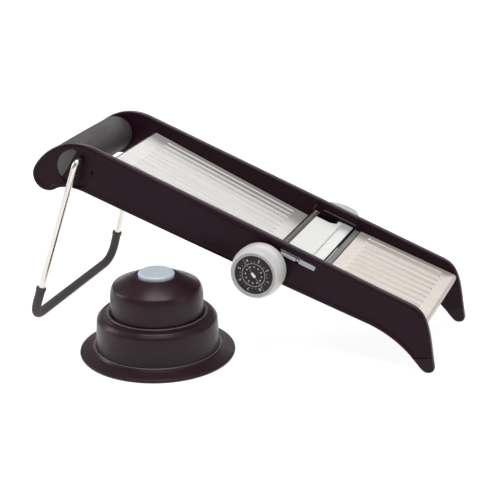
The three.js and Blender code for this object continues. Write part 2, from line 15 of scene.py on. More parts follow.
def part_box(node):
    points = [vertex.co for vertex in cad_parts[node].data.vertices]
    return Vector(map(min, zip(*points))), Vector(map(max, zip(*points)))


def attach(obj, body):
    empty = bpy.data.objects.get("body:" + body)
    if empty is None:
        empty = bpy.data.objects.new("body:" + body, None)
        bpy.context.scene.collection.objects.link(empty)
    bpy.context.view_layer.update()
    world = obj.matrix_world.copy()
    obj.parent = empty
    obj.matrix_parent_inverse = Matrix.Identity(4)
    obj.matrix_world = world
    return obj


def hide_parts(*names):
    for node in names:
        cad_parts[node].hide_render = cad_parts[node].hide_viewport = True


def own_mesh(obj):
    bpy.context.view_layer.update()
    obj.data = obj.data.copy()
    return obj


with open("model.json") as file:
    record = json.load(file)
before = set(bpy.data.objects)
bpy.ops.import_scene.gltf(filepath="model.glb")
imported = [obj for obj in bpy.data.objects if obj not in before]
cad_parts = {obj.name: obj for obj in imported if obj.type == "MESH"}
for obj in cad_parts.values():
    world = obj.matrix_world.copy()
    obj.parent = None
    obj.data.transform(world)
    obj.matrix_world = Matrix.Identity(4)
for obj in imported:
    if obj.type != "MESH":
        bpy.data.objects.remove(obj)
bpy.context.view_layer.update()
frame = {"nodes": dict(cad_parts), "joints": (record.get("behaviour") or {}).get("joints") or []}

# ---------------------------------------------------------------- driving dimensions, mm

MM = 0.001
JOINTS = {joint["name"]: joint for joint in frame["joints"]}
TILT = math.radians(20.1)

RAIL_FACE = 60.0                # outer face of a rail, from the middle
RAIL_THICK = 7.2
RAIL_INNER = RAIL_FACE - RAIL_THICK
RAIL_EDGE = 2.2                 # rounding of a rail's outer rim
RAIL_BACK_EDGE = 1.6
NEAR_SLOT = ((120, 154.3), (-11.4, -5.6), 1.6)
FAR_SLOT = ((113.4, 155.4), (-14.8, -5.5), 1)
BOOT_GAP = 0.12
BOOT_PROUD = 0.2
BOOT_EDGE = 2.0
DECK_HALF = 52.5
HEEL, HEEL_RADIUS = (-62.0, -49.5), 49.5
NOSE, NOSE_RADIUS = (-97.0, -43.0), 13.9
TOE, TOE_RADIUS = (271.6, -44.8), 5.4
GRIP, GRIP_RADIUS = (-86.6, -27.4), 16.4

LEG_PIVOT = (-72.0, -15.0)
LEG_LEAN = math.radians(16.28)
LEG_WIRE = 2.85
LEG_OFFSET = 67.0
LEG_FOOT = 79.9
LEG_REACH = 151.9
LEG_CORNER = 18.0
LEG_ELBOW = 6.0
LEG_END_DEPTH = 5.5             # how far the wire's end reaches into a rail
SLEEVE = 4.05
SLEEVE_RISE = 30.0
SLEEVE_LIP = 0.45
DISH, DISH_RADIUS, DISH_DEPTH = (-73.6, -24.0), 17.5, 2.6
DISH_SLOPE = (-91.3, -81.0)      # where the dish's sloped floor starts and ends
DETENT = (-59.7, -23.1)
PIVOT_HOLE = 3.5
PIVOT_SKIN = 1.2

KNOB = (111.95, -26.06)
KNOB_BACK = 60.6
KNOB_FACE = 85.3
KNOB_RADIUS = 22.5
DIAL_RADIUS = 16.4
DIAL_TOP = 84.4
DIAL_RING = (9.9, 10.2)
DIAL_TICKS = (11.2, 12.3)
DIAL_DOTS = (6.6, 7.7)
FIGURE_CIRCLE, FIGURE_SIZE = 13.1, 3.9
LINE_TURN = math.radians(-34)
MARK_SINK = 0.2
SHAFT_RADIUS = 3.5

AXLE = (3.0, -5.0)              # in the runway's own frame
RUNWAY_SLOPE = math.radians(2.775)
RUNWAY_LENGTH = 161.0
RUNWAY_RIBS = {"count": 12, "pitch": 8.1, "start": 15.0, "end": 150.0, "height": 0.7, "width": 3.2}
LANDING_FROM = (161.3, -9.9)
LANDING_SLOPE = math.radians(-1.2)
LANDING_LENGTH = 94.0
LANDING_RIBS = {"count": 10, "pitch": 10.0, "start": 10.5, "end": 82.0, "height": 0.8, "width": 3.6}
SHEET = 1.0
SHEET_STEP = 0.15               # first row of faces inside a sheet's edge
LANDING_FLANGE = 7.0
CROSSBAR_LIP = ((153.6, 155.5), (-48, 48), (-19.8, -15.2))

INSERT = (120.3, 153.2)
INSERT_TOP = -10.0
INSERT_DEPTH = 4.5
INSERT_HALF = 52.3
STRAIGHT_FROM = 143.6
SHORT_END = 40.3                # far end of the raised face
WAVY_EDGE = 114.8
SHORT_TO = 139.0                # where that face steps out to the far rail

BRIM = 66.1
CAP = 39.3
CAP_TOP = 69.0
BUTTON = 15.4
HOLDER_BEADS = (("mouth_bead", 41.9, 36.75), ("foot_bead", 53.3, 6.95))
BEAD_RADIUS = 0.72


def frame_at(joint, own_point, angle):
    """Millimetre frame turned about Y, whose own point (x, z) lies on a joint's axis."""
    place = Matrix.Translation(Vector(JOINTS[joint]["pos_m"]))
    x, z = own_point
    return place @ Matrix.Rotation(angle, 4, "Y") @ Matrix.Scale(MM, 4) @ Matrix.Translation((-x, 0, -z))


BODY = frame_at("knob_turn", KNOB, TILT)
RUNWAY = frame_at("runway_tilt", AXLE, TILT + RUNWAY_SLOPE)
LEG = frame_at("leg_fold", (0, 0), math.pi / 2 + LEG_LEAN)
LANDING = (BODY @ Matrix.Translation((LANDING_FROM[0], 0, LANDING_FROM[1]))
           @ Matrix.Rotation(LANDING_SLOPE, 4, "Y"))
KNOB_AXIS = BODY @ Matrix.Translation((KNOB[0], 0, KNOB[1])) @ Matrix.Rotation(math.pi / 2, 4, "X")
GRIP_AXIS = BODY @ Matrix.Translation((GRIP[0], 0, GRIP[1])) @ Matrix.Rotation(math.pi / 2, 4, "X")
_low, _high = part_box("holder_base")
HOLDER = Matrix.Translation(((_low.x + _high.x) / 2, (_low.y + _high.y) / 2, 0)) @ Matrix.Scale(MM, 4)

# ---------------------------------------------------------------- outlines


def bezier(points, steps=16):
    """Points along a quadratic or cubic curve, its first point left out."""
    made = []
    for step in range(1, steps + 1):
        level = [Vector(p) for p in points]
        t = step / steps
        while len(level) > 1:
            level = [a.lerp(b, t) for a, b in zip(level, level[1:])]
        made.append(tuple(level[0]))
    return made


def arc(centre, radius, start, end, steps=24):
    """Points round part of a circle, angles in degrees."""
    made = []
    for step in range(steps + 1):
        angle = math.radians(start + (end - start) * step / steps)
        made.append((centre[0] + radius * math.cos(angle), centre[1] + radius * math.sin(angle)))
    return made


def rounded(corners, closed=True, steps=5):
    """Polygon whose corners (x, y, radius) are rounded off."""
    points = []
    for i, (x, y, radius) in enumerate(corners):
        corner = Vector((x, y))
        at_end = not closed and i in (0, len(corners) - 1)
        if radius <= 0 or at_end:
            points.append(corner)
            continue
        before = Vector(corners[i - 1][:2]) - corner
        after = Vector(corners[(i + 1) % len(corners)][:2]) - corner
        reach = radius / math.tan(before.angle(after) / 2)
        reach = min(reach, 0.49 * before.length, 0.49 * after.length)
        start = corner + before.normalized() * reach
        end = corner + after.normalized() * reach
        for step in range(steps + 1):
            t = step / steps
            points.append(start * (1 - t) ** 2 + corner * (2 * t * (1 - t)) + end * t * t)
    return [tuple(p) for p in points]


def inset(points, distance):
    """Closed outline moved inwards along its own normals."""
    count = len(points)
    area = sum(points[i - 1][0] * points[i][1] - points[i][0] * points[i - 1][1] for i in range(count))
    side = 1 if area > 0 else -1
    made = []
    for i in range(count):
        here = Vector(points[i])
        before = (here - Vector(points[i - 1])).normalized()
        after = (Vector(points[(i + 1) % count]) - here).normalized()
        normal = Vector((-(before.y + after.y), before.x + after.x)).normalized() * side
        lean = max(0.5, normal.dot(Vector((-after.y, after.x)) * side))
        made.append(tuple(here + normal * distance / lean))
    return made


def rail_outline():
    """Side view of a rail: heel, straight top, toe, hollow underside and nose."""
    heel_end = math.degrees(math.atan2(NOSE[1] - HEEL[1], NOSE[0] - HEEL[0]))
    nose_low = arc(NOSE, NOSE_RADIUS, -40, heel_end - 360, 22)
    toe = arc(TOE, TOE_RADIUS, 30, -120, 12)
    points = arc(HEEL, HEEL_RADIUS, heel_end, 90, 40)
    points += [(HEEL[0] + 15.0 * k, 0.0) for k in range(1, 21)]
    points += bezier([points[-1], (256, 0), (263, -20), toe[0]], 24)
    points += toe[1:]
    points += bezier([toe[-1], (253, -40), (237, -32.6), (213, -32.6)], 16)
    points += bezier([points[-1], (75, -38.6), (-60, -41.6)], 20)
    points += bezier([points[-1], (-72, -42), (-82.2, -46.2), nose_low[0]], 14)
    return points + nose_low[1:-1]


# ---------------------------------------------------------------- solids


def plan(points, height):
    return [(x, y, height) for x, y in points]


def side(points, y):
    return [(x, y, z) for x, z in points]


def loft(rings, lay=plan, caps=True):
    """Skin through (outline, level) rings of equal length, its two ends closed."""
    bm = bmesh.new()
    rows = [[bm.verts.new(p) for p in lay(points, level)] for points, level in rings]
    count = len(rows[0])
    for low, high in zip(rows, rows[1:]):
        for i in range(count):
            j = (i + 1) % count
            bm.faces.new((low[i], low[j], high[j], high[i]))
    if caps:
        bm.faces.new(rows[0])
        bm.faces.new(rows[-1])
    else:
        for i in range(count):
            j = (i + 1) % count
            bm.faces.new((rows[-1][i], rows[-1][j], rows[0][j], rows[0][i]))
    return bm


def slab(outline, low, high, edge=0.5, top_edge=None, lay=plan, steps=4):
    """Outline pushed from low to high, its two rims rounded."""
    top_edge = edge if top_edge is None else top_edge
    rings = [(inset(outline, edge + 0.2), low)]
    for step in range(steps + 1):
        turn = math.pi / 2 * step / steps
        rings.append((inset(outline, edge * (1 - math.sin(turn))), low + edge * (1 - math.cos(turn))))
    for step in range(steps + 1):
        turn = math.pi / 2 * (1 - step / steps)
        height = high - top_edge * (1 - math.cos(turn))
        rings.append((inset(outline, top_edge * (1 - math.sin(turn))), height))
    rings.append((inset(outline, top_edge + 0.2), high))
    return loft(rings, lay)


def rectangle(x, y, radius):
    """Outline from (low, high) pairs, its corners rounded off."""
    return rounded([(x[0], y[0], radius), (x[1], y[0], radius), (x[1], y[1], radius), (x[0], y[1], radius)])


def box(x, y, z, radius=0.0, edge=0.4):
    """Block from (low, high) pairs, with round corners in plan and round rims."""
    return slab(rectangle(x, y, radius), z[0], z[1], edge)


def lathe(profile, segments=96):
    """Solid turned about z. The profile ends on the axis, or else closes on itself."""
    bm = bmesh.new()
    rows = []
    for radius, height in profile:
        steps = range(segments) if radius > 1e-6 else range(1)
        angles = [2 * math.pi * i / segments for i in steps]
        rows.append([bm.verts.new((radius * math.cos(a), radius * math.sin(a), height)) for a in angles])
    pairs = list(zip(rows, rows[1:]))
    if profile[0][0] > 1e-6:
        pairs.append((rows[-1], rows[0]))
    for low, high in pairs:
        for i in range(segments):
            j = (i + 1) % segments
            corners = [low[i % len(low)], low[j % len(low)], high[j % len(high)], high[i % len(high)]]
            corners = list(dict.fromkeys(corners))
            if len(corners) > 2:
                bm.faces.new(corners)
    return bm


def cylinder(centre, radius, low, high, segments=48):
    """Plain bar along y, used as a cutter or as a small lug."""
    points = arc(centre, radius, 0, 360, segments)[:-1]
    return loft([(points, low), (points, high)], side)


def tube(path, radius, hole=0.0, sides=24, end=0.6):
    """Round bar, or pipe where it has a hole, along a path of points with rounded ends."""
    path = [Vector(p) for p in path]
    tangents = []
    for i in range(len(path)):
        before = path[max(i - 1, 0)]
        after = path[min(i + 1, len(path) - 1)]
        tangents.append((after - before).normalized())
    normal = tangents[0].orthogonal().normalized()
    stations = []
    for point, tangent in zip(path, tangents):
        normal = (normal - tangent * normal.dot(tangent)).normalized()
        stations.append((point, normal.copy(), tangent.cross(normal)))

    def ring(station, size, shift=0.0):
        point, across, up = station
        forward = across.cross(up)
        angles = [2 * math.pi * k / sides for k in range(sides)]
        centre = point + forward * shift
        return [tuple(centre + (across * math.cos(a) + up * math.sin(a)) * size) for a in angles]

    rounding = [math.pi / 2 * k / 4 for k in range(5)]
    tips = [(radius - end * (1 - math.sin(a)), end * math.cos(a)) for a in rounding]
    rings = [ring(stations[0], size, -shift) for size, shift in tips]
    rings += [ring(station, radius) for station in stations[1:-1]]
    rings += [ring(stations[-1], size, shift) for size, shift in reversed(tips)]
    if hole:
        rings += [ring(station, hole) for station in reversed(stations)]
    return loft([(points, None) for points in rings], lambda points, level: points, caps=not hole)


def helix(radius, wire, low, high, turns):
    """Compression spring with closed ends."""
    steps = int(turns * 20)
    points = []
    for step in range(steps + 1):
        share = step / steps
        lift = max(0.0, min(1.0, (share * turns - 0.9) / (turns - 1.8)))
        angle = 2 * math.pi * turns * share
        height = low + wire + (high - low - 2 * wire) * lift
        points.append((radius * math.cos(angle), radius * math.sin(angle), height))
    return tube(points, wire, sides=10, end=0.2)


def placed(bm, matrix):
    bmesh.ops.transform(bm, matrix=matrix, verts=bm.verts)
    return bm


def joined(parts):
    """Several meshes in one."""
    whole = bmesh.new()
    for part in parts:
        mesh = bpy.data.meshes.new("part")
        part.to_mesh(mesh)
        part.free()
        whole.from_mesh(mesh)
        bpy.data.meshes.remove(mesh)
    return whole


def mesh_object(name, bm):
    mesh = bpy.data.meshes.new(name)
    bm.to_mesh(mesh)
    bm.free()
    made = bpy.data.objects.new(name, mesh)
    bpy.context.scene.collection.objects.link(made)
    return made


def carve(bm, tools, operation="DIFFERENCE"):
    """Cuts the other solids away from bm, or joins them to it."""
    bmesh.ops.recalc_face_normals(bm, faces=bm.faces)
    target = mesh_object("carved", bm)
    helpers = []
    for tool in tools:
        bmesh.ops.recalc_face_normals(tool, faces=tool.faces)
        helper = mesh_object("tool", tool)
        modifier = target.modifiers.new("cut", "BOOLEAN")
        modifier.operation = operation
        modifier.solver = "EXACT"
        modifier.object = helper
        helpers.append(helper)
    bpy.context.view_layer.update()
    evaluated = target.evaluated_get(bpy.context.evaluated_depsgraph_get())
    made = bmesh.new()
    made.from_mesh(evaluated.data)
    for used in [target, *helpers]:
        bpy.data.objects.remove(used, do_unlink=True)
    return made


def piece(name, bm, place, body, material, stands_for=(), crease=32):
    """Finishes a mesh: places it, sets its soft and hard edges, and hangs it on its body."""
    placed(bm, place)
    bmesh.ops.remove_doubles(bm, verts=bm.verts, dist=1e-6)
    bmesh.ops.recalc_face_normals(bm, faces=bm.faces)
    for face in bm.faces:
        face.smooth = True
    for edge in bm.edges:
        edge.smooth = edge.calc_face_angle(0) < math.radians(crease)
    made = mesh_object(name, bm)
    made.data.materials.append(material)
    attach(made, body)
    if stands_for:
        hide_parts(*stands_for)
    return made


# ---------------------------------------------------------------- materials


def blank(name):
    made = bpy.data.materials.new(name)
    made.use_nodes = True
    return made, made.node_tree, made.node_tree.nodes["Principled BSDF"]


def grain(tree, cell, detail=2.0, turn=0.0):
    """Noise whose cells measure cell metres along x, y and z, turned about y."""
    coords = tree.nodes.new("ShaderNodeTexCoord")
    mapping = tree.nodes.new("ShaderNodeMapping")
    mapping.vector_type = "TEXTURE"
    mapping.inputs["Rotation"].default_value = (0, turn, 0)
    mapping.inputs["Scale"].default_value = cell
    pattern = tree.nodes.new("ShaderNodeTexNoise")
    pattern.inputs["Scale"].default_value = 1.0
    pattern.inputs["Detail"].default_value = detail
    tree.links.new(coords.outputs["Object"], mapping.inputs["Vector"])
    tree.links.new(mapping.outputs["Vector"], pattern.inputs["Vector"])
    return pattern.outputs["Fac"]


def spread(tree, value, low, high):
    """Maps the middle of a noise to low..high."""
    node = tree.nodes.new("ShaderNodeMapRange")
    node.inputs["From Min"].default_value = 0.3
    node.inputs["From Max"].default_value = 0.7
    node.inputs["To Min"].default_value = low
    node.inputs["To Max"].default_value = high
    tree.links.new(value, node.inputs["Value"])
    return node.outputs["Result"]


def tones(tree, value, dark, light):
    """Colour between two shades."""
    node = tree.nodes.new("ShaderNodeValToRGB")
    node.color_ramp.elements[0].position = 0.3
    node.color_ramp.elements[1].position = 0.7
    node.color_ramp.elements[0].color = (*dark, 1)
    node.color_ramp.elements[1].color = (*light, 1)
    tree.links.new(value, node.inputs["Fac"])
    return node.outputs["Color"]


def relief(tree, value, height, below=None, strength=1.0):
    """Bump of a noise, height metres deep, on top of another bump."""
    node = tree.nodes.new("ShaderNodeBump")
    node.inputs["Strength"].default_value = strength
    node.inputs["Distance"].default_value = height
    tree.links.new(value, node.inputs["Height"])
    if below is not None:
        tree.links.new(below, node.inputs["Normal"])
    return node.outputs["Normal"]


def shades(colour, change):
    return [c * (1 - change) for c in colour], [min(1.0, c * (1 + change)) for c in colour]


def moulded(name, colour, roughness, texture=0.00003, specular=0.5, change=0.06, coat=0.0):
    """Injection-moulded plastic: fine spark-eroded grain, faint tone and gloss variation."""
    made, tree, shader = blank(name)
    cloud = grain(tree, (0.03,) * 3)
    fine = grain(tree, (0.0005,) * 3, 1.0)
    handled = grain(tree, (0.006,) * 3, 4.0)
    links = tree.links
    links.new(tones(tree, cloud, *shades(colour, change)), shader.inputs["Base Color"])
    links.new(spread(tree, handled, roughness - 0.05, roughness + 0.05), shader.inputs["Roughness"])
    links.new(relief(tree, fine, texture), shader.inputs["Normal"])
    shader.inputs["Specular IOR Level"].default_value = specular
    shader.inputs["Coat Weight"].default_value = coat
    shader.inputs["Coat Roughness"].default_value = 0.15
    return made


def brushed(name, colour, roughness, turn, metallic=0.6, length=0.05, change=0.05, streak=0.000012):
    """Satin sheet steel with a fine brushed line along its length."""
    made, tree, shader = blank(name)
    lines = grain(tree, (length, 0.0004, 0.0004), 3.0, turn)
    broad = grain(tree, (length * 2, 0.004, 0.004), 2.0, turn)
    links = tree.links
    links.new(tones(tree, broad, *shades(colour, change)), shader.inputs["Base Color"])
    links.new(spread(tree, lines, roughness - 0.08, roughness + 0.08), shader.inputs["Roughness"])
    links.new(relief(tree, lines, streak), shader.inputs["Normal"])
    shader.inputs["Metallic"].default_value = metallic
    return made


def polished(name, colour, roughness):
    """Drawn bright steel with faint marks from handling."""
    made, tree, shader = blank(name)
    marks = grain(tree, (0.004,) * 3, 5.0)
    cloud = grain(tree, (0.02,) * 3)
    links = tree.links
    links.new(tones(tree, cloud, *shades(colour, 0.04)), shader.inputs["Base Color"])
    links.new(spread(tree, marks, roughness * 0.7, roughness * 1.4), shader.inputs["Roughness"])
    links.new(relief(tree, marks, 0.000006), shader.inputs["Normal"])
    shader.inputs["Metallic"].default_value = 1.0
    return made


def make_materials():
    tilt = TILT + RUNWAY_SLOPE
    return {
        "rail": moulded("rail_plastic", (0.019, 0.0062, 0.0115), 0.28, 0.000012, 0.11),
        "holder": moulded("holder_plastic", (0.024, 0.0095, 0.0145), 0.33, 0.00002, 0.24),
        # Lighter plastic for the holder's two beads: painted highlight along them, on top of their real
        # gloss.
        "edge": moulded("holder_bead_painted_highlight", (0.085, 0.074, 0.078), 0.3, 0.00001, 0.5),
        "frame": moulded("frame_plastic", (0.04, 0.036, 0.038), 0.5, 0.00003, 0.4),
        "grip": moulded("soft_grip", (0.058, 0.051, 0.054), 0.6, 0.00005, 0.3),
        "rubber": moulded("rubber", (0.07, 0.06, 0.064), 0.72, 0.00005, 0.25),
        "light": moulded("light_plastic", (0.59, 0.595, 0.58), 0.34, 0.00001, 0.5, 0.02),
        "bezel": moulded("bezel_plastic", (0.43, 0.42, 0.395), 0.4, 0.00001, 0.5, 0.03),
        "white": moulded("white_plastic", (0.7, 0.705, 0.69), 0.42, 0.000012, 0.5, 0.015),
        "grey": moulded("grey_plastic", (0.16, 0.16, 0.155), 0.5, 0.00003, 0.4),
        "blue": moulded("button_plastic", (0.53, 0.6, 0.66), 0.38, 0.00001, 0.5, 0.02),
        "dial": moulded("dial_plastic", (0.017, 0.01, 0.013), 0.36, 0.00001, 0.3),
        "boot": moulded("boot_rubber", (0.0195, 0.0085, 0.013), 0.36, 0.00002, 0.15),
        # Lighter grey for the crescent on the dish's sloped floor: painted light.
        "painted_slope_light": moulded("dish_painted_slope_light", (0.085, 0.085, 0.088), 0.5, 0.00002, 0.35),
        "catch": moulded("catch_plastic", (0.4, 0.42, 0.45), 0.36, 0.00001, 0.5, 0.02),
        "print": moulded("dial_print", (0.6, 0.6, 0.58), 0.5, 0.00001, 0.4, 0.03),
        "runway": brushed("runway_steel", (0.55, 0.535, 0.515), 0.37, tilt, 0.4),
        "landing": brushed("landing_steel", (0.57, 0.52, 0.468), 0.37, TILT + LANDING_SLOPE, 0.4),
        # Near-white steel for the domes on the landing's rib ends: painted glint.
        "painted_glint": moulded("rib_end_painted_glint", (0.92, 0.9, 0.87), 0.25, 0.000004, 0.6, 0.02),
        "blade": brushed("blade_steel", (0.67, 0.67, 0.66), 0.42, math.pi / 2 + TILT, 0.4),
        "dark_blade": brushed("wavy_blade_steel", (0.11, 0.098, 0.085), 0.3, math.pi / 2 + TILT),
        "wire": polished("wire_steel", (0.78, 0.74, 0.69), 0.22),
        "pin": polished("pin_steel", (0.6, 0.6, 0.6), 0.25),
    }


# ---------------------------------------------------------------- side rails


def dish_cutter(outwards):
    """Thumb recess: round, with a floor that slopes in from its uphill side."""
    face = outwards * RAIL_FACE
    floor = outwards * (RAIL_FACE - DISH_DEPTH)
    bowl = cylinder(DISH, DISH_RADIUS, face + outwards * 1.5, floor, 72)
    start, crease = DISH_SLOPE
    below = floor - outwards
    wedge = [(start - 2, face), (start, face), (crease, floor), (crease, below), (start - 2, below)]
    return carve(bowl, [loft([(wedge, -60.0), (wedge, 10.0)])])


def dish_painted_slope_light(name, outwards, materials):
    """Lighter crescent laid on the sloped part of the dish: painted light where light falls on the slope.
    """
    start, crease = DISH_SLOPE
    rim = arc(DISH, DISH_RADIUS - 0.5, 117, 231, 40)
    inner = bezier([rim[-1], (-80.1, -33), (-80.8, -18), (-77.0, -8.8)], 24)
    outline = [*rim, *inner[:-1]]

    def on_slope(points, lift):
        made = []
        for x, z in points:
            share = max(0.0, min(1.0, (x - start) / (crease - start)))
            made.append((x, outwards * (RAIL_FACE - DISH_DEPTH * share + lift), z))
        return made

    rings = [(outline, -0.3), (outline, 0.1), (inset(outline, 0.1), 0.22), (inset(outline, 0.25), 0.26)]
    piece(f"{name}_dish_painted_slope_light", loft(rings, on_slope), BODY, "frame", materials["painted_slope_light"])


def boot_cutter(clearance):
    """Everything below the line that parts the rubber boot from its rail."""
    line = [(245 + clearance, -49.4), (287 + clearance, -25.4), (320, -60), (245 + clearance, -75)]
    return loft([(line, -90.0), (line, 90.0)], side)


def ledge(points, outwards, width=3.5):
    """Shelf inside a rail that carries what slides or rests on it."""
    low, high = sorted((outwards * (RAIL_INNER - width), outwards * (RAIL_INNER + 0.5)))
    return slab(points, low, high, 0.3, lay=side, steps=2)


def rail_rings(outwards):
    """Cross-section of a rail's edge, as (inset, depth from the outer face) from face to face."""
    section = [(5.4, 0.8), (5.0, 0.8), (4.5, 0.74), (4.15, 0.5), (3.9, 0.2), (3.55, 0.0), (2.6, 0.0)]
    for turn in [math.pi / 12 * k for k in range(1, 7)]:
        section.append((RAIL_EDGE * (1 - math.sin(turn)), RAIL_EDGE * (1 - math.cos(turn))))
    for turn in [math.pi / 10 * k for k in range(6)]:
        depth = RAIL_THICK - RAIL_BACK_EDGE * (1 - math.sin(turn))
        section.append((RAIL_BACK_EDGE * (1 - math.cos(turn)), depth))
    section.append((2.0, RAIL_THICK))
    outline = rail_outline()
    rings = []
    for distance, depth in section:
        ring = inset(outline, distance)
        tight = inset(outline, distance * 0.5)
        ring = [close if point[1] < TOE[1] + 2 and point[0] > 200 else moved
                for point, moved, close in zip(outline, ring, tight)]
        rings.append((ring, outwards * (RAIL_FACE - depth)))
    return rings


def rail(name, outwards, materials):
    faces = sorted((outwards * (RAIL_INNER - 5), outwards * (RAIL_FACE + 2)))
    pivot = sorted((outwards * (RAIL_INNER + PIVOT_SKIN), outwards * (RAIL_FACE + 2)))
    slot = rectangle(*(NEAR_SLOT if outwards < 0 else FAR_SLOT))
    solid = loft(rail_rings(outwards), side)
    solid = carve(solid, [
        dish_cutter(outwards),
        cylinder(LEG_PIVOT, PIVOT_HOLE, *pivot),
        cylinder(KNOB, 6.5, *faces),
        loft([(slot, faces[0]), (slot, faces[1])], side),
        boot_cutter(-BOOT_GAP),
    ])
    shelves = [
        ledge([(113.4, -15), (156, -15), (156, -18.2), (113.4, -18.2)], outwards),
        ledge([(162, -14.4), (248, -12.6), (248, -15.8), (162, -18)], outwards),
    ]
    if outwards > 0:
        shelves.append(ledge([(124, -15.05), (155, -15.05), (155, -18.15), (124, -18.15)], outwards, 13.5))
    solid = carve(solid, shelves, "UNION")
    piece(f"{name}_rail_shell", solid, BODY, "frame", materials["rail"],
          [f"{name}_side_rail"], crease=28)


def boot(name, outwards, materials):
    """Rubber foot over a rail's toe, worn flat where it stands."""
    outline = rail_outline()
    turns = [math.pi / 12 * k for k in range(7)]
    depth = [(BOOT_EDGE * (1 - math.sin(a)), BOOT_EDGE * (1 - math.cos(a))) for a in turns]
    outer = RAIL_FACE + BOOT_PROUD
    inner = RAIL_INNER - BOOT_PROUD
    rings = [(inset(outline, BOOT_EDGE + 0.2), outwards * outer)]
    rings += [(inset(outline, d), outwards * (outer - h)) for d, h in depth]
    rings += [(inset(outline, d), outwards * (inner + h)) for d, h in reversed(depth)]
    rings += [(inset(outline, BOOT_EDGE + 0.2), outwards * inner)]
    solid = carve(loft(rings, side), [boot_cutter(0)], "INTERSECT")
    placed(solid, BODY)
    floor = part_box(f"{name}_front_boot")[0].z
    lowest = min(v.co.z for v in solid.verts)
    press_from = floor + 4 * MM
    for vertex in solid.verts:
        if vertex.co.z < press_from:
            share = (press_from - vertex.co.z) / (press_from - lowest)
            vertex.co.z = press_from - share * (press_from - floor)
    piece(f"{name}_boot", solid, Matrix(), "frame", materials["boot"],
          [f"{name}_front_boot"], crease=28)


def detent(name, outwards, materials):
    """Stop nub for the leg, with the short raised mark that leads to it."""
    nub = lathe(rounded([(0, 0, 0), (2, 0, 0), (2, 1.6, 0.7), (0, 2.0, 0)], closed=False), 32)
    floor = RAIL_FACE - DISH_DEPTH
    turn = Matrix.Translation((DETENT[0], outwards * floor, DETENT[1]))
    placed(nub, turn @ Matrix.Rotation(-outwards * math.pi / 2, 4, "X"))
    mark = rounded([(-68.6, -32.0, 0.4), (-68.2, -32.6, 0.4), (-61.6, -25.2, 0.4), (-62.2, -24.7, 0.4)])
    low, high = sorted((outwards * (floor - 0.4), outwards * (floor + 0.6)))
    stroke = slab(mark, low, high, 0.1, lay=side, steps=2)
    piece(f"{name}_leg_stop", joined([nub, stroke]), BODY, "frame", materials["rail"],
          [f"{name}_leg_detent"])


def side_rails(materials):
    for name, outwards in (("near", -1), ("far", 1)):
        rail(name, outwards, materials)
        boot(name, outwards, materials)
        dish_painted_slope_light(name, outwards, materials)
        detent(name, outwards, materials)


def handle(materials):
    """Soft round grip between the rails, slightly fuller in the middle."""
    profile = [(0, -DECK_HALF), (GRIP_RADIUS - 1.4, -DECK_HALF)]
    for step in range(-12, 13):
        share = step / 12
        end = max(0.0, abs(share) - 0.94) / 0.06
        profile.append((GRIP_RADIUS - 0.35 * share * share - 0.9 * end * end, share * DECK_HALF))
    profile += [(GRIP_RADIUS - 1.4, DECK_HALF), (0, DECK_HALF)]
    piece("soft_handle", lathe(profile, 96), GRIP_AXIS, "frame", materials["grip"],
          ["handle_grip"])


# ---------------------------------------------------------------- folding leg


def leg_side(reach):
    return LEG_OFFSET + (LEG_FOOT - LEG_OFFSET) * reach / LEG_REACH


def leg_path(from_reach, with_elbows):
    """Half of the U, then its mirror: x is the distance from the pivot, y across."""
    corner = LEG_REACH - LEG_CORNER
    half = []
    if with_elbows:
        elbow = LEG_OFFSET - LEG_ELBOW
        half += [(0, -(RAIL_FACE - LEG_END_DEPTH), 0), (0, -elbow, 0)]
        half += bezier([(0, -elbow, 0), (0, -LEG_OFFSET, 0), (LEG_ELBOW, -leg_side(LEG_ELBOW), 0)], 12)
    else:
        half.append((from_reach, -leg_side(from_reach), 0))
    for share in (0.25, 0.5, 0.75, 1.0):
        reach = from_reach + (corner - from_reach) * share
        half.append((reach, -leg_side(reach), 0))
    half += bezier([half[-1], (LEG_REACH, -LEG_FOOT, 0), (LEG_REACH, LEG_CORNER - LEG_FOOT, 0)], 16)
    half += [(LEG_REACH, y, 0) for y in (-40, -20)]
    return half + [(LEG_REACH, 0, 0)] + [(x, -y, z) for x, y, z in reversed(half)]


def folding_leg(materials):
    wire = tube(leg_path(LEG_ELBOW, True), LEG_WIRE, sides=32)
    piece("wire_leg", wire, LEG, "leg", materials["wire"], ["leg_wire"])
    start = LEG_REACH - SLEEVE_RISE
    parts = [tube(leg_path(start, False), SLEEVE, LEG_WIRE + 0.2, 32, 1.0)]
    for end in (-1, 1):
        collar = [(reach, end * leg_side(reach), 0) for reach in (start - 0.4, start + 0.6, start + 1.8)]
        parts.append(tube(collar, SLEEVE + SLEEVE_LIP, LEG_WIRE + 0.2, 32, 0.5))
    piece("base_sleeve", joined(parts), LEG, "leg", materials["rubber"], ["leg_sleeve"])


# ---------------------------------------------------------------- pressed steel decks


def rib_stations(ribs, half):
    """Places across a sheet: its edges, and close steps over each rib."""
    made = [-half, -half + SHEET_STEP, half - SHEET_STEP, half]
    for i in range(ribs["count"]):
        middle = (i - (ribs["count"] - 1) / 2) * ribs["pitch"]
        made += [middle + ribs["width"] * k / 10 for k in range(-5, 6)]
    return sorted(made)


def rib_height(x, y, ribs):
    """Height of the pressed ribs above the sheet."""
    middle = (ribs["count"] - 1) / 2
    nearest = max(0, min(ribs["count"] - 1, round(y / ribs["pitch"] + middle)))
    across = abs(y - (nearest - middle) * ribs["pitch"]) / (ribs["width"] / 2)
    along = max(0.0, ribs["start"] + 1.4 - x, x - ribs["end"] + 1.4) / 1.6
    reach = math.hypot(across, along)
    return ribs["height"] * (0.5 + 0.5 * math.cos(math.pi * min(1.0, reach)))


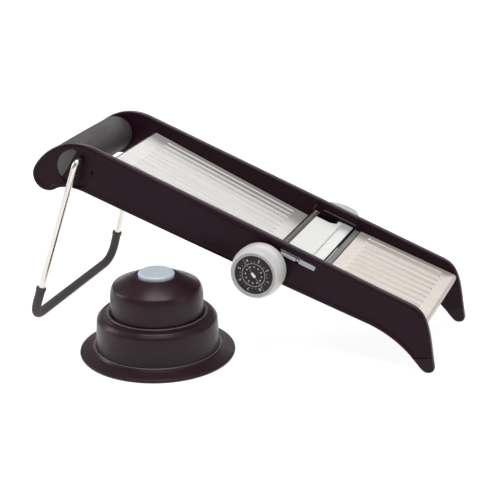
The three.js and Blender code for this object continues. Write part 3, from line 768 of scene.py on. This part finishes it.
def sheet_line(length, ribs, lip):
    """Side view of a sheet's top as (x, z, turn), turning down over a lip at its end."""
    ends = (ribs["start"], ribs["end"])
    marks = [0.0, SHEET_STEP, length * 0.03, length - lip - SHEET_STEP, length - lip]
    for end in ends:
        marks += [end + 0.4 * k for k in range(-5, 6)]
    marks += [ends[0] + 3 + (ends[1] - ends[0] - 6) * k / 14 for k in range(15)]
    line = [(x, 0.0, 0.0) for x in sorted(marks)]
    if lip:
        for step in range(1, 9):
            turn = math.pi / 2 * step / 8
            line.append((length - lip + lip * math.sin(turn), lip * (math.cos(turn) - 1), turn))
        for drop in (lip + 2, LANDING_FLANGE - SHEET_STEP, LANDING_FLANGE):
            line.append((length, -drop, math.pi / 2))
    return line


def ribbed_sheet(length, half, ribs, lip=0.0):
    """Pressed sheet of even thickness that follows its ribs on both faces."""
    line = sheet_line(length, ribs, lip)
    places = rib_stations(ribs, half)
    bm = bmesh.new()

    def skin(depth):
        rows = []
        for x, z, turn in line:
            row = []
            for y in places:
                rise = rib_height(x, y, ribs) - depth
                edge = 0.12 if y in (places[0], places[-1]) else 0.0
                rise += edge if depth else -edge
                row.append(bm.verts.new((x + rise * math.sin(turn), y, z + rise * math.cos(turn))))
            rows.append(row)
        for one, two in zip(rows, rows[1:]):
            for i in range(len(places) - 1):
                bm.faces.new((one[i], one[i + 1], two[i + 1], two[i]))
        return rows

    top, under = skin(0.0), skin(SHEET)
    for rim_top, rim_under in ((top[0], under[0]), (top[-1], under[-1])):
        for i in range(len(places) - 1):
            bm.faces.new((rim_top[i], rim_top[i + 1], rim_under[i + 1], rim_under[i]))
    for column in (0, -1):
        for i in range(len(line) - 1):
            bm.faces.new((top[i][column], top[i + 1][column], under[i + 1][column], under[i][column]))
    return bm


def painted_rib_glints(ribs, x, radius, height):
    """Rounded ends of pressed ribs in a bright material: painted glints where the ends would catch the
    light.
    """
    parts = []
    for i in range(ribs["count"]):
        y = (i - (ribs["count"] - 1) / 2) * ribs["pitch"]
        dome = [(0, -0.3), (radius, -0.3), (radius, height * 0.2), (radius * 0.8, height * 0.65),
                (radius * 0.4, height * 0.93), (0, height)]
        parts.append(placed(lathe(dome, 24), Matrix.Translation((x, y, 0))))
    return joined(parts)


def decks(materials):
    runway = ribbed_sheet(RUNWAY_LENGTH, DECK_HALF - 0.2, RUNWAY_RIBS)
    piece("runway_sheet", runway, RUNWAY, "runway", materials["runway"], ["runway_plate"])
    landing = ribbed_sheet(LANDING_LENGTH, DECK_HALF, LANDING_RIBS, lip=3.0)
    piece("crossbar_lip", box(*CROSSBAR_LIP, edge=0.3), BODY, "frame", materials["frame"])
    # Bright domes on the rib ends: painted glints.
    ends = painted_rib_glints(LANDING_RIBS, LANDING_RIBS["start"], 1.2, 0.75)
    piece("landing_painted_rib_glints", ends, LANDING, "frame", materials["painted_glint"])
    piece("landing_sheet", landing, LANDING, "frame", materials["landing"],
          ["landing_plate"])


# ---------------------------------------------------------------- thickness knob


def knob(materials):
    height = KNOB_FACE - KNOB_BACK
    rim = KNOB_RADIUS
    bore = SHAFT_RADIUS + 0.3
    well = DIAL_RADIUS + 0.3
    hub = bore + 3.4
    wheel = rounded([
        (0, height - 2.5, 0), (well, height - 2.5, 0.2), (well, height - 1.2, 0.2),
        (17.6, height - 0.6, 0.3), (rim - 2.9, height - 0.1, 1.4), (rim - 1.5, height - 2.6, 3),
        (rim - 0.2, height - 8, 6), (rim, 11, 6), (rim - 0.7, 4, 3), (rim - 2.6, 0.4, 1.2),
        (rim - 4.4, 0, 0.3), (rim - 4.4, 1.2, 0.3), (hub, 1.2, 0.3), (hub, 0, 0.3),
        (bore, 0, 0.3), (bore, 14.5, 0), (0, 14.5, 0)], closed=False)
    lift = KNOB_AXIS @ Matrix.Translation((0, 0, KNOB_BACK))
    piece("knob_barrel", lathe(wheel, 128), lift, "adjuster", materials["light"],
          ["knob_wheel"])
    bezel = rounded([(DIAL_RADIUS + 0.35, height - 1.8, 0.1), (rim - 3.2, height - 0.9, 0.1),
                     (rim - 3.1, height - 0.02, 0.2), (DIAL_RADIUS + 0.35, height - 0.85, 0.2)])
    piece("knob_bezel", lathe(bezel, 128), lift, "adjuster", materials["bezel"])
    dial(materials)


def numeral(text, size, x, y, turn):
    """One figure as a thin raised mesh, centred on a point of the dial."""
    curve = bpy.data.curves.new("figure", "FONT")
    curve.body = text
    curve.size = size
    curve.align_x = "CENTER"
    curve.align_y = "CENTER"
    curve.extrude = 0.07
    curve.resolution_u = 3
    holder = bpy.data.objects.new("figure", curve)
    bpy.context.scene.collection.objects.link(holder)
    bpy.context.view_layer.update()
    mesh = bpy.data.meshes.new_from_object(holder.evaluated_get(bpy.context.evaluated_depsgraph_get()))
    bm = bmesh.new()
    bm.from_mesh(mesh)
    bpy.data.objects.remove(holder, do_unlink=True)
    bpy.data.meshes.remove(mesh)
    return placed(bm, Matrix.Translation((x, y, DIAL_TOP)) @ Matrix.Rotation(turn, 4, "Z"))


def dial_mark(x, half, rise, edge, turn):
    """Thin bar on the dial between two distances from its middle."""
    bar = box(x, (-half, half), (DIAL_TOP - MARK_SINK, DIAL_TOP + rise), edge=edge)
    return placed(bar, Matrix.Rotation(turn, 4, "Z"))


def dial(materials):
    """Dark dial with a silver ring, a line across it, generic figures and ticks."""
    disc = rounded([(0, DIAL_TOP - 1.3, 0), (DIAL_RADIUS, DIAL_TOP - 1.3, 0.1),
                    (DIAL_RADIUS, DIAL_TOP, 0.4), (0, DIAL_TOP, 0)], closed=False)
    piece("dial_disc", lathe(disc, 96), KNOB_AXIS, "adjuster", materials["dial"],
          ["dial_face"])

    inner, outer = DIAL_RING
    ring = rounded([(inner, DIAL_TOP - MARK_SINK, 0), (outer, DIAL_TOP - MARK_SINK, 0),
                    (outer, DIAL_TOP + 0.12, 0.08), (inner, DIAL_TOP + 0.12, 0.08)])
    marks = [lathe(ring, 96)]
    marks.append(dial_mark((-DIAL_RADIUS + 0.5, DIAL_RADIUS - 0.5), 0.16, 0.12, 0.05, LINE_TURN))
    for step in range(24):
        turn = 2 * math.pi * step / 24
        if step % 3:
            marks.append(dial_mark(DIAL_TICKS, 0.16, 0.1, 0.04, turn))
        else:
            x, y = FIGURE_CIRCLE * math.cos(turn), FIGURE_CIRCLE * math.sin(turn)
            marks.append(numeral(str(step // 3 + 1), FIGURE_SIZE, x, y, turn - math.pi / 2))
    for step in range(12):
        marks.append(dial_mark(DIAL_DOTS, 0.5, 0.1, 0.04, 2 * math.pi * (step + 0.5) / 12))
    piece("dial_marks", joined(marks), KNOB_AXIS, "adjuster", materials["print"])

    badge = rectangle((-2.6, 2.6), (-1.5, 1.5), 1.4)
    emblem = slab(badge, DIAL_TOP + 0.02, DIAL_TOP + 0.7, 0.1, 0.5)
    placed(emblem, Matrix.Rotation(LINE_TURN, 4, "Z"))
    piece("dial_emblem", emblem, KNOB_AXIS, "adjuster", materials["pin"], ["dial_boss"])


# ---------------------------------------------------------------- blade insert


def insert_outline():
    """Raised face seen from above: its far end steps out to the rail along the straight blade."""
    last = STRAIGHT_FROM - 0.1
    corners = [(INSERT[0], -INSERT_HALF, 0.6), (last, -INSERT_HALF, 0.3),
               (last, 50.2, 0.2), (141.9, 50.2, 0.3), (140.4, 46.6, 3), (138.4, 43.4, 3),
               (134.2, SHORT_END, 3), (INSERT[0], SHORT_END, 0.8)]
    return rounded(corners)


def carrier(materials):
    low = INSERT_TOP - INSERT_DEPTH
    face = slab(insert_outline(), low + 0.5, INSERT_TOP, 0.3)
    side_half = INSERT_HALF - 0.1
    shelf = box((INSERT[0] + 0.1, SHORT_TO + 1), (-side_half, SHORT_END - 0.1),
                (low, INSERT_TOP - 1.1), 0.4, 0.3)
    bed = box((SHORT_TO, INSERT[1]), (-side_half, side_half), (low + 0.05, INSERT_TOP - 0.46), 0.4, 0.2)
    # Dark strip down the carrier's downhill side: painted shade over a face that lies in shadow.
    painted_shade_strip = box((INSERT[1] - 0.3, INSERT[1] + 0.4), (-side_half, side_half),
                (low + 0.1, INSERT_TOP - 0.42), edge=0.1)
    piece("carrier_painted_shade_strip", painted_shade_strip, BODY, "insert", materials["frame"])
    piece("carrier_block", joined([face, shelf, bed]), BODY, "insert", materials["white"],
          ["blade_carrier"], crease=28)


def straight_blade(materials):
    """Flat blade with fine teeth along its uphill edge and a ground bevel."""
    teeth = 62
    pitch = 2 * INSERT_HALF / teeth
    edge = []
    for i in range(teeth):
        y = -INSERT_HALF + pitch * i
        edge += [(STRAIGHT_FROM + 0.75, y + 0.02), (STRAIGHT_FROM, y + pitch / 2)]
    outline = [*edge, (STRAIGHT_FROM + 0.75, INSERT_HALF)]
    outline += [(INSERT[1], INSERT_HALF), (INSERT[1], -INSERT_HALF)]
    top = INSERT_TOP
    rings = [(outline, top - 0.4), (outline, top - 0.15), (inset(outline, 0.06), top - 0.1)]
    blade = loft(rings)
    ground = box((STRAIGHT_FROM + 1.2, INSERT[1] - 0.2), (-INSERT_HALF + 0.2, INSERT_HALF - 0.2),
                 (top - 0.35, top), 0.4, 0.1)
    piece("toothed_blade", joined([blade, ground]), BODY, "insert", materials["blade"],
          ["straight_blade"], crease=24)


def wavy_blade(materials):
    """Corrugated blade: the waves run up and down across it and scallop its edge."""
    waves = 21
    steps = waves * 10
    top, bottom = [], []
    bm = bmesh.new()
    for i in range(steps + 1):
        y = -INSERT_HALF + 2 * INSERT_HALF * i / steps
        wave = math.cos(2 * math.pi * waves * i / steps)
        edge = WAVY_EDGE + 0.6 - 0.6 * wave
        lift = 0.55 * wave
        rows = [(edge, -1.15 + lift * 0.9), (edge + 1.0, -0.75 + lift)]
        rows += [(118.2, -0.75 + lift), (120.0, -0.9 + lift * 0.4)]
        top.append([bm.verts.new((x, y, INSERT_TOP + z)) for x, z in rows])
        bottom.append([bm.verts.new((x, y, INSERT_TOP + z - 0.5)) for x, z in rows])
    for upper, lower in ((top, top), (bottom, bottom)):
        for one, two in zip(upper, lower[1:]):
            for k in range(3):
                bm.faces.new((one[k], one[k + 1], two[k + 1], two[k]))
    for k in (0, 3):
        for i in range(steps):
            bm.faces.new((top[i][k], top[i + 1][k], bottom[i + 1][k], bottom[i][k]))
    for i in (0, steps):
        for k in range(3):
            bm.faces.new((top[i][k], top[i][k + 1], bottom[i][k + 1], bottom[i][k]))
    piece("scalloped_blade", bm, BODY, "insert", materials["dark_blade"],
          ["wavy_blade"], crease=50)


def insert_ends(materials):
    """Finger tab outside the far rail, and the catch that shows in the near rail's slot."""
    start = RAIL_FACE + 0.3
    half = bezier([(152.8, start), (153.4, 74), (149.5, 85.2), (138.8, 85.2)], 20)
    outline = [(152.8, start), *half, *bezier([half[-1], (127, 85.2), (116.4, 76), (115.2, start)], 20)]
    tab = slab(outline, INSERT_TOP - 4.3, INSERT_TOP + 3.2, 1.2, 2.0, steps=6)
    piece("pull_tab", tab, BODY, "insert", materials["catch"], ["insert_tab"])

    block = box((113.9, 155), (INSERT_HALF + 0.3, RAIL_FACE), (-14.4, -5.9), 0.3, 0.3)
    piece("end_block", block, BODY, "insert", materials["rail"], ["insert_end_block"])
    ridge = box((122.7, 154.5), (INSERT_HALF + 0.05, INSERT_HALF + 0.6), (-7.3, -6.75), edge=0.1)
    piece("end_ridge", ridge, BODY, "insert", materials["grey"])

    near = (-RAIL_FACE - 0.5, -INSERT_HALF - 0.3)
    long_bar = box((138.6, 153.4), near, (-10.5, -6.5), 0.8, 0.7)
    short_bar = box((121.4, 135.6), near, (-10.3, -7.5), 0.8, 0.7)
    web = box((134.8, 139.4), (near[0] + 2.4, near[1]), (-10.3, -9.2), 0.3, 0.2)
    lug = cylinder((137.1, -8.4), 1.1, near[0] + 1.0, near[1], 24)
    piece("slot_catch", joined([long_bar, short_bar, web, lug]), BODY, "insert", materials["catch"],
          ["insert_catch"])


def blade_insert(materials):
    carrier(materials)
    straight_blade(materials)
    wavy_blade(materials)
    insert_ends(materials)


# ---------------------------------------------------------------- food holder


def holder_shell(materials):
    """Base with its wide brim: rounded shoulder, bead round the foot and a lip round the mouth."""
    base = rounded([
        (BRIM - 4.6, 0, 0.4), (BRIM - 0.8, 0, 0.5), (BRIM, 1.2, 0.8), (BRIM - 0.3, 2.5, 0.5),
        (BRIM - 1.6, 3.1, 1.0), (55.2, 5.8, 0.5), (54.3, 6.9, 0.5), (53.3, 7.5, 0.5), (52.4, 7.2, 0.3),
        (52.2, 10, 2), (51.4, 26, 4), (50.9, 31.8, 4), (47.4, 35.4, 3.2), (42.4, 36.2, 0.6),
        (41.4, 37.3, 0.5), (39.8, 37.2, 0.4), (39.8, 33.2, 0.4), (45.5, 32.6, 1), (48, 30.6, 1),
        (48.9, 27.5, 1), (49.7, 9.6, 0.5), (44, 9.2, 0.3), (44, 7, 0.3),
        (50.6, 6.6, 0.5), (53, 4, 0.5)], steps=6)
    piece("holder_shell", lathe(base, 144), HOLDER, "holder", materials["holder"],
          ["holder_base"], crease=30)
    # The beads are turned in a lighter plastic than the shell: partly real gloss on their round shape,
    # partly painted highlight.
    for name, radius, height in HOLDER_BEADS:
        bead = arc((radius, height), BEAD_RADIUS, 0, 337.5, 15)
        piece(name, lathe(bead, 144), HOLDER, "holder", materials["edge"])


def plunger_shell(materials):
    """Cap: straight wall, wide soft shoulder and a domed top that dips to the button."""
    rim = BUTTON + 0.5
    wall = CAP - 2.4
    shoulder = []
    for turn in range(8, 65, 4):
        bend = math.radians(turn)
        shoulder.append((34 + 5.3 * math.cos(bend) ** 0.833, 48 + 14 * math.sin(bend) ** 0.833, 0))
    cap = rounded([
        (CAP, 31, 0), (CAP, 48, 0), *shoulder, (22, 67.7, 3), (19, CAP_TOP, 1.0),
        (rim + 0.5, CAP_TOP, 0.4), (rim, CAP_TOP - 0.6, 0.3), (rim, CAP_TOP - 2.6, 0.2),
        (20.4, 65.9, 0.5), (26.2, 63.1, 1), (32.4, 60.1, 1), (34.2, 59.4, 1), (35.5, 57.9, 1),
        (36.5, 54.8, 1), (wall, 48, 1), (wall, 26.6, 0.3),
        (47.6, 26.6, 0.3), (47.6, 28.8, 0.3), (CAP + 0.4, 28.8, 0.3)], steps=6)
    piece("plunger_cap", lathe(cap, 144), HOLDER, "plunger", materials["holder"],
          ["holder_cap"], crease=30)


def button(materials):
    low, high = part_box("holder_button")
    foot = low.z / MM
    top = high.z / MM
    profile = rounded([(0, foot, 0), (BUTTON + 2, foot, 0.2), (BUTTON + 2, foot + 1.7, 0.2),
                       (BUTTON, foot + 2.3, 0.2), (BUTTON, top - 1.2, 1), (BUTTON - 1.6, top, 1),
                       (BUTTON - 4.2, top - 0.05, 1),
                       (0, top - 0.5, 0)], closed=False)
    piece("button_cap", lathe(profile, 96), HOLDER, "button", materials["blue"],
          ["holder_button"])


def spring(name, node, body, radius, wire, turns, materials):
    """Coil spring in the place of a CAD ring, with a mesh of its own."""
    low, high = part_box(node)
    coil = helix(radius, wire, low.z / MM, high.z / MM, turns)
    made = piece(name, coil, HOLDER, body, materials["pin"], [node])
    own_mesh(made)


def food_holder(materials):
    holder_shell(materials)
    plunger_shell(materials)
    button(materials)
    spring("return_spring", "holder_spring", "holder", 45.6, 0.8, 3.4, materials)
    spring("button_coil", "button_spring", "plunger", 10.5, 0.6, 3.2, materials)


# ---------------------------------------------------------------- CAD nodes that stay


def finish_nodes(materials):
    """Gives each CAD node that still shows its material, and a small bevel on its edges."""
    chosen = {
        "near_shaft_bush": "grey", "far_shaft_bush": "grey",
        "near_leg_bush": "rail", "far_leg_bush": "rail",
        "runway_axle": "pin", "runway_frame": "frame", "landing_tray": "frame", "crossbar": "grey",
        "cam_shaft": "pin", "prong_plate": "blade", "plunger_core": "grey",
    }
    chosen.update({f"tray_screw_{i}": "pin" for i in range(1, 5)})
    chosen.update({f"blade_rivet_{i}": "pin" for i in range(1, 5)})
    for node, key in chosen.items():
        made = frame["nodes"][node]
        made.data.materials.clear()
        made.data.materials.append(materials[key])
        weld = made.modifiers.new("weld", "WELD")
        weld.merge_threshold = 0.00002
        bevel = made.modifiers.new("bevel", "BEVEL")
        bevel.width = 0.00035
        bevel.segments = 3
        bevel.limit_method = "ANGLE"
        bevel.angle_limit = math.radians(40)
        bevel.harden_normals = True


# ---------------------------------------------------------------- studio


def floor():
    """Pale, softly lit table that fades to white round the object."""
    bm = bmesh.new()
    half = 9.0
    bm.faces.new([bm.verts.new((x * half, y * half, 0)) for x, y in ((-1, -1), (1, -1), (1, 1), (-1, 1))])
    made = mesh_object("floor", bm)
    paint, tree, shader = blank("floor_paint")
    cloud = tones(tree, grain(tree, (0.2,) * 3), (0.3,) * 3, (0.31,) * 3)
    tree.links.new(cloud, shader.inputs["Base Color"])
    shader.inputs["Roughness"].default_value = 0.9
    shader.inputs["Specular IOR Level"].default_value = 0.1
    shader.inputs["Emission Color"].default_value = (1, 1, 1, 1)
    shader.inputs["Emission Strength"].default_value = 0.88
    made.data.materials.append(paint)


def softbox(name, place, aim, size, radiance):
    """Rectangular area light of an even brightness, turned towards a point."""
    data = bpy.data.lights.new(name, "AREA")
    data.shape = "RECTANGLE"
    data.size, data.size_y = size
    data.energy = radiance * math.pi * size[0] * size[1]
    lamp = bpy.data.objects.new(name, data)
    lamp.location = place
    lamp.rotation_euler = (Vector(aim) - Vector(place)).to_track_quat("-Z", "Y").to_euler()
    bpy.context.scene.collection.objects.link(lamp)


def studio():
    world = bpy.data.worlds.new("studio")
    world.use_nodes = True
    world.node_tree.nodes["Background"].inputs["Color"].default_value = (1, 1, 1, 1)
    world.node_tree.nodes["Background"].inputs["Strength"].default_value = 0.35
    bpy.context.scene.world = world
    bpy.context.scene.view_settings.view_transform = "Standard"
    floor()
    softbox("overhead", (0.05, -0.25, 1.3), (0, 0, 0.05), (0.8, 0.6), 6.5)
    softbox("back", (0, 1.4, 0.9), (0, 0, 0.08), (2.2, 0.55), 2.2)
    softbox("left", (-1.3, -0.2, 0.6), (0, 0, 0.05), (0.4, 0.8), 5.0)
    softbox("right", (1.3, -0.1, 0.6), (0, 0, 0.05), (0.4, 0.7), 2.0)


def camera():
    data = bpy.data.cameras.new("camera")
    data.lens = 103.69
    data.sensor_width = 36
    data.shift_x = -0.00976
    data.shift_y = -0.03426
    data.clip_end = 50
    made = bpy.data.objects.new("camera", data)
    made.location = (0.420276, -1.078395, 0.515)
    made.rotation_euler = (math.radians(90 - 20.012), 0, math.radians(20.473))
    bpy.context.scene.collection.objects.link(made)
    bpy.context.scene.camera = made


# ---------------------------------------------------------------- assembly


def build():
    materials = make_materials()
    side_rails(materials)
    handle(materials)
    folding_leg(materials)
    decks(materials)
    knob(materials)
    blade_insert(materials)
    food_holder(materials)
    finish_nodes(materials)
    studio()
    camera()


build()
